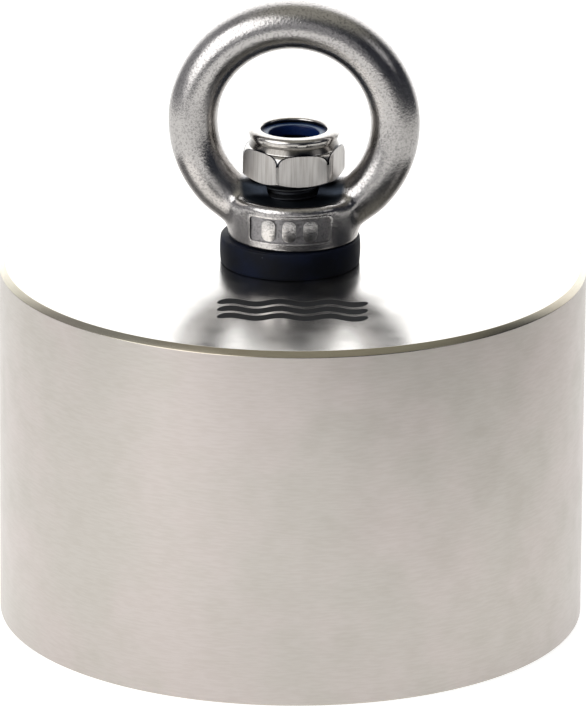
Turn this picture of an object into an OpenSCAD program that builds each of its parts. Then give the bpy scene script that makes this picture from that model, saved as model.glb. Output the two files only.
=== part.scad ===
// Magnet for magnet fishing: a steel pot full of ring magnets, held together by one long bolt
// whose upper end carries a rubber spacer, a lifting eye nut and a self-locking nut.
// The origin is the centre of the working face. +Z runs along the bolt towards the eye,
// and the eye's ring stands in the XZ plane.

/* [Pot] */
// Outer diameter of the pot
pot_d = 117; // [97:0.5:141]
// Height of the pot, from the working face to the flat back
pot_h = 73; // [60:0.5:88]
// Thickness of the pot's wall round the magnets
pot_wall = 9; // [7:0.5:11]
// Thickness of the pot's back plate, which carries the flux
pot_back = 14; // [11:0.5:17]
// Chamfer round the edge of the flat back
back_chamfer = 1.2; // [0.4:0.1:2]
// Chamfer round the rim of the working face
rim_chamfer = 0.5; // [0.2:0.1:1.2]
// Radial clearance round the bolt where it passes through the back plate
back_slip = 0.5; // [0.2:0.1:1]

/* [Magnets] */
// Width of the ring of potting between the magnets and the pot's wall
potting_w = 3; // [2:0.5:5]
// How far the lowest magnet lies behind the working face
magnet_recess = 0.5; // [0.2:0.1:1.5]
// How far the potting lies behind the working face
potting_recess = 0.9; // [0.6:0.1:2]
// Chamfer on the edges of each ring magnet
magnet_chamfer = 0.6; // [0.3:0.1:1]

/* [Core bush] */
// Width of the bush's rim outside the bolt's head
bush_rim = 2.6; // [2:0.1:3.4]
// Radial clearance between the bush and the magnets
bush_slip = 0.1; // [0.05:0.05:0.3]
// Radial clearance between the bolt's shank and the bush
shank_slip = 0.25; // [0.1:0.05:0.5]
// Radial clearance round the bolt's head
head_slip = 0.4; // [0.2:0.1:0.8]

/* [Bolt] */
// Nominal diameter of the bolt's thread
bolt_d = 12; // [10:0.1:14.5]
// Diameter of the bolt's countersunk head
head_d = 24; // [20:0.2:29]
// Height of the straight land round the head
head_land = 0.8; // [0.4:0.1:1.2]
// How far the head lies behind the working face
head_recess = 1.5; // [1:0.1:3]
// Size across the flats of the head's hexagon socket
socket_af = 8; // [6:0.5:9]
// Depth of the hexagon socket
socket_depth = 5; // [4:0.2:5.6]
// Chamfer on the bolt's free end
bolt_chamfer = 1; // [0.4:0.1:1.5]
// How deep the bolt's free end reaches into the lock nut
bolt_reach = 5.3; // [4.6:0.1:5.6]

/* [Spacer] */
// Outer diameter of the rubber spacer
spacer_d = 28; // [24:0.5:34]
// Thickness of the rubber spacer
spacer_t = 5.5; // [4:0.1:7]
// Radial clearance between the spacer and the bolt
spacer_slip = 0.2; // [0.1:0.05:0.5]
// Rounding of the spacer's edges
spacer_edge = 0.4; // [0.2:0.1:0.8]

/* [Eye nut] */
// Outer diameter of the eye's ring
ring_od = 50; // [46:0.5:60]
// Inner diameter of the eye's ring
ring_id = 30.4; // [25:0.2:36.6]
// Room between the ring's inner curve and the lock nut's lower corners
nut_room = 0.95; // [0.5:0.05:1.5]
// Diameter of the eye nut's hub
hub_d = 26; // [24:0.5:31]
// Height of the eye nut's hub
hub_h = 9.1; // [7.5:0.1:11]
// Radius of the rounded edge round the hub's top
hub_edge = 1.3; // [0.8:0.1:1.6]
// Depth of the dish in the hub's top
dish_depth = 0.4; // [0.2:0.1:0.8]
// Radial running clearance of the two nuts on the bolt
thread_slip = 0.05; // [0.02:0.01:0.1]
// Width of the raised frame on the hub's front, across
frame_w = 17.2; // [14:0.2:20]
// Height of the raised frame on the hub's front
frame_h = 6.1; // [4.6:0.1:6.4]
// Height of the frame's middle over the hub's base
frame_rise = 4.5; // [4:0.1:5]
// Width of the frame's raised line
frame_line = 0.55; // [0.4:0.05:0.8]
// How far the frame and its pips stand out of the hub
frame_proud = 0.35; // [0.2:0.05:0.5]
// Number of raised pips in the frame
pip_count = 3; // [1:1:4]
// Width of one raised pip
pip_w = 2.8; // [1.6:0.1:3]
// Height of one raised pip
pip_h = 4.4; // [2:0.1:4.6]

/* [Lock nut] */
// Height of the lock nut's hexagon at the middle of its flats
nut_hex_h = 6.6; // [5.4:0.1:7.8]
// How far the hexagon's flats stand out past the crown
flat_margin = 0; // [0:0.1:1]
// Angle of the chamfers on the hexagon's lower corners
nut_chamfer_angle = 30; // [20:1:32]
// Steepness of the slope from the hexagon's upper corners to the crown
nut_slope_angle = 59; // [45:1:62]
// Height of the shoulder between the hexagon's flats and the crown's neck
shoulder_h = 1.1; // [0.8:0.1:1.4]
// How far the neck is drawn in under the crown
neck_depth = 0.5; // [0.2:0.1:0.7]
// Thickness of the crown's wall beside the nylon ring
crown_wall = 1.3; // [1:0.1:1.6]
// How far the crown's rolled lip reaches in over the nylon ring
lip_reach = 1.15; // [0.8:0.05:1.4]
// Thickness of the crown's rolled lip
lip_t = 0.9; // [0.6:0.1:1.2]
// Radial room between the bolt and the rolled lip
lip_room = 0.55; // [0.3:0.05:1]
// Gap between the hub's top and the lock nut
nut_gap = 3.1; // [2.6:0.1:4]
// Angle the lock nut stands at, its corner from +X
nut_turn = 15; // [0:1:60]

/* [Nylon ring] */
// Thickness of the nylon ring
nylon_t = 2.3; // [1.9:0.1:2.8]
// How far the nylon ring reaches in over the bolt's thread
nylon_bite = 1; // [0.6:0.05:1.2]
// Thickness of the hexagon's floor under the nylon ring, over the hexagon's top
nylon_seat = 0.1; // [0:0.1:0.4]
// Clearance round the nylon ring in its groove
nylon_slip = 0.05; // [0.02:0.01:0.1]

/* [Hidden] */
$fn = 96;

magnet_count = 3;
cut = 1;                                   // how far a cutting shape runs past what it cuts
frame_round = 1.3;                         // outer corner radius of the raised frame

pot_r = pot_d / 2;
cavity_r = pot_r - pot_wall;
cavity_top = pot_h - pot_back;
magnet_r = cavity_r - potting_w;
magnet_t = (cavity_top - magnet_recess) / magnet_count;

bolt_r = bolt_d / 2;
head_r = head_d / 2;
seat_z = head_recess + head_land;          // where the head's 90 degree cone starts
mouth_r = head_r + head_slip;              // the bush's mouth, round the bolt's head
bush_r = mouth_r + bush_rim;
bush_bore_r = bolt_r + shank_slip;
magnet_hole_r = bush_r + bush_slip;

hub_z = pot_h + spacer_t;                  // the eye nut's base
hub_top = hub_z + hub_h;
thread_r = bolt_r + thread_slip;

nut_z = hub_top + nut_gap;
bolt_end = nut_z + bolt_reach;
lip_r = bolt_r + lip_room;
groove_r = lip_r + lip_reach;
crown_r = groove_r + crown_wall;
nut_af = 2 * (crown_r + flat_margin);      // across the hexagon's flats
nut_corner_r = nut_af / 2 / cos(30);
washer_r = nut_af / 2 - 0.45;              // the flat ring left inside the nut's chamfers
chamfer_h = (nut_corner_r - washer_r) * tan(nut_chamfer_angle);
nylon_low = nut_hex_h + nylon_seat;        // heights inside the lock nut, from its own base
nylon_top = nylon_low + nylon_t;
nut_h = nylon_top + lip_t;
neck_r = crown_r - neck_depth;

ring_mid_r = (ring_od + ring_id) / 4;      // radius of the circle that the ring's wire follows
wire_r = (ring_od - ring_id) / 4;
ring_z = nut_z + chamfer_h - nut_room + sqrt(pow(ring_id / 2, 2) - pow(nut_corner_r, 2));

// A ring turned round Z from z0 up to z1, between two radii, with its four edges chamfered.
module turned_ring(r_in, r_out, z0, z1, edge) {
    rotate_extrude() polygon([
        [r_in + edge, z0], [r_out - edge, z0], [r_out, z0 + edge], [r_out, z1 - edge],
        [r_out - edge, z1], [r_in + edge, z1], [r_in, z1 - edge], [r_in, z0 + edge]
    ]);
}

// A regular hexagon of a given size across its flats, with a corner on +X.
module hexagon(across_flats) {
    circle(r = across_flats / 2 / cos(30), $fn = 6);
}

// A rectangle with round corners, centred on the origin.
module rounded_rectangle(w, h, r) {
    square([w - 2 * r, h], center = true);
    square([w, h - 2 * r], center = true);
    for (x = [-1, 1], y = [-1, 1]) translate([x * (w / 2 - r), y * (h / 2 - r)]) circle(r = r);
}

module pot_shell() {
    color("lightgray") rotate_extrude() polygon([
        [cavity_r, 0], [pot_r - rim_chamfer, 0], [pot_r, rim_chamfer],
        [pot_r, pot_h - back_chamfer], [pot_r - back_chamfer, pot_h],
        [bolt_r + back_slip, pot_h], [bolt_r + back_slip, cavity_top], [cavity_r, cavity_top]
    ]);
}

// One magnet of the stack. The lowest is number 0.
module ring_magnet(number) {
    z = magnet_recess + number * magnet_t;
    color("silver") turned_ring(magnet_hole_r, magnet_r, z, z + magnet_t, magnet_chamfer);
}

module ring_magnet_lower() {
    ring_magnet(0);
}

module ring_magnet_middle() {
    ring_magnet(1);
}

module ring_magnet_upper() {
    ring_magnet(2);
}

module potting_ring() {
    color("darkslategray") rotate_extrude()
        translate([magnet_r, potting_recess]) square([potting_w, cavity_top - potting_recess]);
}

// Lines the magnets' holes and takes the bolt's clamping force, so that the brittle magnets don't.
module core_bush() {
    color("darkkhaki") rotate_extrude() polygon([
        [bush_bore_r, seat_z + head_r - bush_bore_r], [head_r, seat_z], [mouth_r, seat_z],
        [mouth_r, magnet_recess], [bush_r, magnet_recess],
        [bush_r, cavity_top], [bush_bore_r, cavity_top]
    ]);
}

module through_bolt() {
    color("lightsteelblue") difference() {
        rotate_extrude() polygon([
            [0, head_recess], [head_r, head_recess], [head_r, seat_z],
            [bolt_r, seat_z + head_r - bolt_r], [bolt_r, bolt_end - bolt_chamfer],
            [bolt_r - bolt_chamfer, bolt_end], [0, bolt_end]
        ]);
        translate([0, 0, head_recess - cut]) linear_extrude(socket_depth + cut) hexagon(socket_af);
    }
}

module rubber_spacer() {
    color("dimgray") turned_ring(bolt_r + spacer_slip, spacer_d / 2, pot_h, hub_z, spacer_edge);
}

// The hub's solid profile: a flat base, straight sides, a rounded top edge and a shallow dish.
module hub_profile() {
    base_edge = 0.4;
    edge_steps = 8;
    dish_r = hub_d / 2 - hub_edge;
    polygon(concat(
        [[0, hub_z], [hub_d / 2 - base_edge, hub_z], [hub_d / 2, hub_z + base_edge]],
        [for (i = [0:edge_steps]) let (a = 90 * i / edge_steps)
            [dish_r + hub_edge * cos(a), hub_top - hub_edge + hub_edge * sin(a)]],
        [[dish_r - dish_depth, hub_top - dish_depth], [0, hub_top - dish_depth]]
    ));
}

// The raised frame and pips on the hub's front, before they are wrapped round the hub.
module front_marks() {
    pip_pitch = (frame_w - 4 * frame_line) / (pip_count + 0.6);
    difference() {
        rounded_rectangle(frame_w, frame_h, frame_round);
        rounded_rectangle(frame_w - 2 * frame_line, frame_h - 2 * frame_line, frame_round - frame_line);
    }
    for (i = [0:pip_count - 1]) translate([(i - (pip_count - 1) / 2) * pip_pitch, 0])
        rounded_rectangle(pip_w, min(pip_h, frame_h - 3 * frame_line), pip_w / 2 - 0.1);
}

module hub_front_relief() {
    difference() {
        intersection() {
            translate([0, 0, hub_z + frame_rise]) rotate([90, 0, 0]) linear_extrude(hub_d) front_marks();
            translate([0, 0, hub_z]) cylinder(r = hub_d / 2 + frame_proud, h = hub_h);
        }
        translate([0, 0, hub_z - cut]) cylinder(r = bolt_r + 2, h = hub_h + 2 * cut);
    }
}

module eye_nut() {
    color("gainsboro") difference() {
        union() {
            rotate_extrude() hub_profile();
            hub_front_relief();
            // The ring, cut off level with the hub's base.
            intersection() {
                translate([0, 0, ring_z]) rotate([90, 0, 0])
                    rotate_extrude() translate([ring_mid_r, 0]) circle(r = wire_r);
                translate([-ring_od, -ring_od, hub_z]) cube([2 * ring_od, 2 * ring_od, 2 * ring_od]);
            }
        }
        translate([0, 0, hub_z - cut]) cylinder(r = thread_r, h = hub_h + wire_r + 2 * cut);
    }
}

// The lock nut's hexagon, chamfered below and sloping up to a shoulder, standing on its own base.
module sloped_hexagon() {
    shoulder_top = nut_hex_h + shoulder_h;
    far_r = nut_corner_r + cut;
    intersection() {
        linear_extrude(shoulder_top) rotate(nut_turn) hexagon(nut_af);
        rotate_extrude() polygon([
            [0, 0], [washer_r, 0], [far_r, chamfer_h + cut * tan(nut_chamfer_angle)],
            [far_r, nut_hex_h - (far_r - nut_af / 2) * tan(nut_slope_angle)],
            [nut_af / 2, nut_hex_h], [neck_r + 0.05, shoulder_top], [0, shoulder_top]
        ]);
    }
}

// The round crown over the hexagon: a neck, a fuller band and a lip rolled in over the nylon.
module crown_profile() {
    neck_top = nut_hex_h + shoulder_h + 0.5;
    crown_foot = neck_top + 0.15;
    lip_round = 1.3;
    roll_steps = 8;
    polygon(concat(
        [[0, nut_hex_h], [neck_r, nut_hex_h], [neck_r, neck_top], [crown_r - 0.15, crown_foot]],
        [for (i = [0:roll_steps]) let (a = 90 * i / roll_steps)
            [crown_r - lip_round + lip_round * cos(a), nut_h - lip_round + lip_round * sin(a)]],
        [[0, nut_h]]
    ));
}

module lock_nut() {
    color("whitesmoke") translate([0, 0, nut_z]) difference() {
        union() {
            sloped_hexagon();
            rotate_extrude() crown_profile();
        }
        translate([0, 0, -cut]) cylinder(r = thread_r, h = nut_h + 2 * cut);
        translate([0, 0, nylon_low]) cylinder(r = groove_r, h = nylon_t);
        translate([0, 0, nylon_low]) cylinder(r = lip_r, h = nut_h);
    }
}

module lock_nut_insert() {
    ring_edge = 0.2;
    color("midnightblue") turned_ring(bolt_r - nylon_bite, groove_r - nylon_slip,
        nut_z + nylon_low + nylon_slip, nut_z + nylon_top - nylon_slip, ring_edge);
}

pot_shell();
ring_magnet_upper();
ring_magnet_middle();
ring_magnet_lower();
potting_ring();
core_bush();
through_bolt();
rubber_spacer();
eye_nut();
lock_nut();
lock_nut_insert();
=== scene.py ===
"""Looks of a magnet-fishing magnet: a nickel-plated pot magnet with a cast eye nut and a lock nut on a bolt.

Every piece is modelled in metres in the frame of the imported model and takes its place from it. The sizes
that the classes hold are in millimetres and their angles in degrees.
"""
import logging
import math
from dataclasses import dataclass
from enum import Enum
from functools import cache

import bpy
from mathutils import Matrix, Vector


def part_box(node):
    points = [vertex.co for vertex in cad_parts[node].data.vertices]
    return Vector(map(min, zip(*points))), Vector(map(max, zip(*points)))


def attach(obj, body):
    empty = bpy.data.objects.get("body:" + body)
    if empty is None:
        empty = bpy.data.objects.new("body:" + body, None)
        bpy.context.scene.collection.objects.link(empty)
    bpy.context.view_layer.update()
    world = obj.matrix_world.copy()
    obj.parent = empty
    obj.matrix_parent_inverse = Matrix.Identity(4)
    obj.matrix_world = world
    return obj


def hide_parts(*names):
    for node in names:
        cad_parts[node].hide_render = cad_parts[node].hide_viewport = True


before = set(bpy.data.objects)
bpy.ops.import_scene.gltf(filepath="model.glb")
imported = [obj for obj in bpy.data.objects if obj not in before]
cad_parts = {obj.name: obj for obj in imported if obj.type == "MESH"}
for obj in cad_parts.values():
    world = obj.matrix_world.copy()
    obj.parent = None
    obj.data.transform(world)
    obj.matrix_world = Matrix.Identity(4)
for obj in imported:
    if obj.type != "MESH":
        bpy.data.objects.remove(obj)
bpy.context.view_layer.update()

LOG = logging.getLogger("magnet")
MM = 0.001

Profile = list[tuple[float, float]]
Colour = tuple[float, float, float, float]
Tree = bpy.types.NodeTree
Socket = bpy.types.NodeSocket

# Kinds of colour mix, and the numbers of such a node's two colour inputs and of its result.
BLEND = {"data_type": "RGBA"}
MULTIPLY = {"data_type": "RGBA", "blend_type": "MULTIPLY"}
FIRST, SECOND, MIXED = 6, 7, 2


# ---------------------------------------------------------------- colours and nodes


def srgb(code: str) -> Colour:
    """Turns an sRGB hex code into a linear colour.

    Args:
        code: Six hex digits after a hash sign.

    Returns:
        Linear red, green and blue, and an alpha of 1.
    """
    parts = [int(code[i:i + 2], 16) / 255 for i in (1, 3, 5)]
    linear = [c / 12.92 if c <= 0.04045 else ((c + 0.055) / 1.055) ** 2.4 for c in parts]
    return (linear[0], linear[1], linear[2], 1.0)


def grain(size_mm: float) -> float:
    """Gives the scale of a texture on Object coordinates whose features are size_mm wide."""
    return 1.0 / (size_mm * MM)


def smoothly(low: float, high: float, to_low: float = 0.0, to_high: float = 1.0) -> dict[str | int, object]:
    """Gives the settings with which a MapRange node takes one range smoothly to another.

    Args:
        low: The input that gives to_low.
        high: The input that gives to_high.
        to_low: The result at low.
        to_high: The result at high.

    Returns:
        The node's settings.
    """
    return {"interpolation_type": "SMOOTHSTEP", 1: low, 2: high, 3: to_low, 4: to_high}


def add(tree: Tree, kind: str, settings: dict[str | int, object] | None = None,
        links: dict[str | int, Socket] | None = None) -> bpy.types.Node:
    """Adds one node with its settings and links.

    Args:
        tree: The node tree that takes the node.
        kind: The node's type without the word ShaderNode, such as "TexNoise".
        settings: Values by socket name or number, or by the node's own property name.
        links: Output sockets of other nodes, by the input's name or number.

    Returns:
        The new node.
    """
    node = tree.nodes.new("ShaderNode" + kind)
    for key, value in (settings or {}).items():
        if isinstance(key, str) and hasattr(node, key):
            setattr(node, key, value)
        else:
            node.inputs[key].default_value = value
    for key, output in (links or {}).items():
        tree.links.new(output, node.inputs[key])
    return node


def from_axis(tree: Tree, place: Socket) -> tuple[Socket, bpy.types.Node]:
    """Measures how far a point is from the Z axis.

    Args:
        tree: The node tree.
        place: The Object coordinates.

    Returns:
        The distance, and the node that holds X, Y and Z.
    """
    part = add(tree, "SeparateXYZ", links={0: place})
    flat = add(tree, "CombineXYZ", links={0: part.outputs["X"], 1: part.outputs["Y"]})
    away = add(tree, "VectorMath", {"operation": "LENGTH"}, {0: flat.outputs[0]})
    return away.outputs["Value"], part


@dataclass(frozen=True)
class Cylinder:
    """An upright cylinder round the Z axis that bounds a region of a finish, with a soft edge."""

    radius: float
    low: float
    high: float
    soft: float = 0.25

    def mask(self, tree: Tree, place: Socket) -> Socket:
        """Marks what lies inside the cylinder.

        Args:
            tree: The node tree.
            place: The Object coordinates.

        Returns:
            A mask that is 1 inside.
        """
        away, part = from_axis(tree, place)
        radius, low, high, soft = (c * MM for c in (self.radius, self.low, self.high, self.soft))
        inside = add(tree, "MapRange", smoothly(radius - soft, radius + soft, 1.0, 0.0), {0: away})
        over = add(tree, "MapRange", smoothly(low - soft, low + soft), {0: part.outputs["Z"]})
        under = add(tree, "MapRange", smoothly(high - soft, high + soft, 1.0, 0.0), {0: part.outputs["Z"]})
        band = add(tree, "Math", {"operation": "MULTIPLY"}, {0: over.outputs[0], 1: under.outputs[0]})
        both = add(tree, "Math", {"operation": "MULTIPLY"}, {0: inside.outputs[0], 1: band.outputs[0]})
        return both.outputs[0]


@dataclass(frozen=True)
class FrontField:
    """A region on the front of an upright round piece: half_width to either side, and in front of depth."""

    half_width: float
    low: float
    high: float
    depth: float
    soft: float = 0.2

    def mask(self, tree: Tree, place: Socket) -> Socket:
        """Marks what lies in the region.

        Args:
            tree: The node tree.
            place: The Object coordinates.

        Returns:
            A mask that is 1 inside.
        """
        width, soft = self.half_width * MM, self.soft * MM
        low, high, depth = (c * MM for c in (self.low, self.high, self.depth))
        part = add(tree, "SeparateXYZ", links={0: place})
        side = add(tree, "Math", {"operation": "ABSOLUTE"}, {0: part.outputs["X"]})
        limits = ((side.outputs[0], smoothly(width - soft, width + soft, 1.0, 0.0)),
                  (part.outputs["Z"], smoothly(low - soft, low + soft)),
                  (part.outputs["Z"], smoothly(high - soft, high + soft, 1.0, 0.0)),
                  (part.outputs["Y"], smoothly(depth - soft, depth + soft, 1.0, 0.0)))
        masks = [add(tree, "MapRange", settings, {0: measure}).outputs[0] for measure, settings in limits]
        result = masks[0]
        for mask in masks[1:]:
            result = add(tree, "Math", {"operation": "MULTIPLY"}, {0: result, 1: mask}).outputs[0]
        return result


# ---------------------------------------------------------------- finishes


@dataclass(frozen=True)
class Finish:
    """What every finish has: a name, a base colour and how rough and metallic it is."""

    name: str
    colour: str
    roughness: float
    metallic: float = 1.0

    def start(self) -> tuple[bpy.types.Material, Tree, bpy.types.Node, Socket]:
        """Makes the material with its shader.

        Returns:
            The material, its tree, its Principled shader and the Object coordinates.
        """
        material = bpy.data.materials.new(self.name)
        material.use_nodes = True
        tree = material.node_tree
        tree.nodes.clear()
        shader = add(tree, "BsdfPrincipled", {"Base Color": srgb(self.colour), "Roughness": self.roughness,
                                              "Metallic": self.metallic})
        add(tree, "OutputMaterial", links={"Surface": shader.outputs[0]})
        coordinates = add(tree, "TexCoord").outputs["Object"]
        return material, tree, shader, coordinates

    def build(self) -> bpy.types.Material:
        """Makes the material. Each finish adds its own detail."""
        return self.start()[0]


@dataclass(frozen=True)
class SatinNickel(Finish):
    """Nickel plating over turned or ground steel.

    To the eye it is a soft grey sheen between warm and cool, faintly mottled where the bath was uneven, with
    the fine level lines of the turning and a few hairline scratches.
    """

    warm: str = "#d8c9bd"
    cool: str = "#cfcfc4"
    # The bath leaves clouds 20 to 30 mm wide, with finer ones a quarter of that.
    mottle_mm: float = 26.0
    stain: float = 0.1
    stain_shade: str = "#efe9e2"
    # A lathe feeds about 0.1 mm a turn. That is too fine to show, so the lines are drawn at 0.35 mm.
    turning_mm: float = 0.35
    turning_stretch: float = 0.12
    line_shade: str = "#f9f8f7"
    # Handling scratches lie 5 to 10 mm apart.
    scratch_mm: float = 7.0
    scratch_tilt: tuple[float, float, float] = (0.3, 0.5, 0.2)
    scratch_stretch: float = 0.04
    scratch_share: float = 0.6
    deep_mm: float = 0.006

    def build(self) -> bpy.types.Material:
        """Makes the plated steel.

        Returns:
            The material.
        """
        material, tree, shader, place = self.start()
        mottle = add(tree, "TexNoise", {"Scale": grain(self.mottle_mm), "Detail": 3.0, "Roughness": 0.6},
                     {0: place})
        warmth = add(tree, "MapRange", smoothly(0.35, 0.65), {0: mottle.outputs[0]})
        tint = add(tree, "Mix", BLEND | {FIRST: srgb(self.warm), SECOND: srgb(self.cool)},
                   {0: warmth.outputs[0]})
        cloud = add(tree, "TexNoise", {"Scale": grain(self.mottle_mm / 4), "Detail": 5.0}, {0: place})
        amount = add(tree, "MapRange", smoothly(0.45, 0.75, 0.0, self.stain), {0: cloud.outputs[0]})
        stained = add(tree, "Mix", MULTIPLY | {SECOND: srgb(self.stain_shade)},
                      {0: amount.outputs[0], FIRST: tint.outputs[MIXED]})
        along = add(tree, "Mapping", {"Scale": (self.turning_stretch, self.turning_stretch, 1.0)}, {0: place})
        lines = add(tree, "TexNoise", {"Scale": grain(self.turning_mm), "Detail": 4.0}, {0: along.outputs[0]})
        line = add(tree, "MapRange", smoothly(0.35, 0.65), {0: lines.outputs[0]})
        lined = add(tree, "Mix", MULTIPLY | {SECOND: srgb(self.line_shade)},
                    {0: line.outputs[0], FIRST: stained.outputs[MIXED]})
        tree.links.new(lined.outputs[MIXED], shader.inputs["Base Color"])
        dull = add(tree, "MapRange", smoothly(0.3, 0.8, self.roughness - 0.02, self.roughness + 0.03),
                   {0: cloud.outputs[0]})
        tree.links.new(dull.outputs[0], shader.inputs["Roughness"])
        slant = add(tree, "Mapping", {"Rotation": self.scratch_tilt,
                                      "Scale": (1.0, 1.0, self.scratch_stretch)}, {0: place})
        cells = add(tree, "TexVoronoi", {"feature": "DISTANCE_TO_EDGE", "Scale": grain(self.scratch_mm)},
                    {0: slant.outputs[0]})
        scratch = add(tree, "MapRange", smoothly(0.004, 0.012), {0: cells.outputs["Distance"]})
        height = add(tree, "Math", {"operation": "MULTIPLY_ADD", 1: self.scratch_share},
                     {0: scratch.outputs[0], 2: lines.outputs[0]})
        bump = add(tree, "Bump", {"Strength": 0.4, "Distance": self.deep_mm * MM},
                   {"Height": height.outputs[0]})
        tree.links.new(bump.outputs[0], shader.inputs["Normal"])
        return material


@dataclass(frozen=True)
class MirrorNickel(Finish):
    """Nickel plating over a lapped steel face, with a printed mark of three waves.

    To the eye it is a mirror with a slight haze that blurs what is far from it, and with a few dust specks.
    """

    # The lapping leaves a haze that comes and goes over about 9 mm.
    haze_mm: float = 9.0
    # Dust lies some 2 to 3 mm apart.
    speck_mm: float = 2.6
    speck_tone: str = "#8d8a84"
    ink: str = "#04060c"
    ink_roughness: float = 0.9
    # The mark's middle line is this far in front of the axis, and turned a little round it.
    mark_radius: float = 31.9
    mark_turn: float = 3.4
    half_length: float = 13.2
    rows: int = 3
    row_pitch: float = 4.5
    row_width: float = 3.3
    row_soft: float = 0.06
    wave_length: float = 9.7
    wave_height: float = 0.9

    def mark(self, tree: Tree, place: Socket) -> Socket:
        """Draws wavy lines with round ends on the front of the back face.

        Args:
            tree: The node tree.
            place: The Object coordinates.

        Returns:
            A mask that is 1 on the ink.
        """
        turn = add(tree, "Mapping", {"Rotation": (0, 0, math.radians(-self.mark_turn)),
                                     "Scale": (1 / MM, 1 / MM, 0)}, {0: place})
        part = add(tree, "SeparateXYZ", links={0: turn.outputs[0]})
        along = part.outputs["X"]
        phase = add(tree, "Math", {"operation": "MULTIPLY", 1: math.tau / self.wave_length}, {0: along})
        wave = add(tree, "Math", {"operation": "SINE"}, {0: phase.outputs[0]})
        swing = add(tree, "Math", {"operation": "MULTIPLY_ADD", 1: self.wave_height, 2: self.mark_radius},
                    {0: wave.outputs[0]})
        across = add(tree, "Math", {"operation": "ADD"}, {0: part.outputs["Y"], 1: swing.outputs[0]})
        raised = add(tree, "Math", {"operation": "ADD", 1: self.row_pitch / 2}, {0: across.outputs[0]})
        row = add(tree, "Math", {"operation": "SNAP", 1: self.row_pitch}, {0: raised.outputs[0]})
        offset = add(tree, "Math", {"operation": "SUBTRACT"}, {0: across.outputs[0], 1: row.outputs[0]})
        length = add(tree, "Math", {"operation": "ABSOLUTE"}, {0: along})
        beyond = add(tree, "Math", {"operation": "SUBTRACT", 1: self.half_length}, {0: length.outputs[0]})
        end = add(tree, "Math", {"operation": "MAXIMUM", 1: 0.0}, {0: beyond.outputs[0]})
        both = add(tree, "CombineXYZ", links={0: offset.outputs[0], 1: end.outputs[0]})
        away = add(tree, "VectorMath", {"operation": "LENGTH"}, {0: both.outputs[0]})
        half = self.row_width / 2
        line = add(tree, "MapRange", smoothly(half - self.row_soft, half + self.row_soft, 1.0, 0.0),
                   {0: away.outputs["Value"]})
        outer = add(tree, "Math", {"operation": "ABSOLUTE"}, {0: across.outputs[0]})
        inside = add(tree, "Math", {"operation": "LESS_THAN", 1: self.rows / 2 * self.row_pitch},
                     {0: outer.outputs[0]})
        mask = add(tree, "Math", {"operation": "MULTIPLY"}, {0: line.outputs[0], 1: inside.outputs[0]})
        return mask.outputs[0]

    def build(self) -> bpy.types.Material:
        """Makes the mirror of the pot's back.

        Returns:
            The material.
        """
        material, tree, shader, place = self.start()
        ink = self.mark(tree, place)
        haze = add(tree, "TexNoise", {"Scale": grain(self.haze_mm), "Detail": 6.0}, {0: place})
        clear = add(tree, "MapRange", smoothly(0.3, 0.7, self.roughness * 0.85, self.roughness * 1.25),
                    {0: haze.outputs[0]})
        specks = add(tree, "TexVoronoi", {"Scale": grain(self.speck_mm), "Randomness": 1.0}, {0: place})
        speck = add(tree, "MapRange", smoothly(0.03, 0.06, 1.0, 0.0), {0: specks.outputs["Distance"]})
        rough = add(tree, "Mix", {3: self.ink_roughness}, {0: ink, 2: clear.outputs[0]})
        tree.links.new(rough.outputs[0], shader.inputs["Roughness"])
        dusty = add(tree, "Mix", BLEND | {FIRST: srgb(self.colour), SECOND: srgb(self.speck_tone)},
                    {0: speck.outputs[0]})
        inked = add(tree, "Mix", BLEND | {SECOND: srgb(self.ink)}, {0: ink, FIRST: dusty.outputs[MIXED]})
        tree.links.new(inked.outputs[MIXED], shader.inputs["Base Color"])
        metal = add(tree, "Math", {"operation": "SUBTRACT", 0: 1.0}, {1: ink})
        tree.links.new(metal.outputs[0], shader.inputs["Metallic"])
        return material


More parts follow.
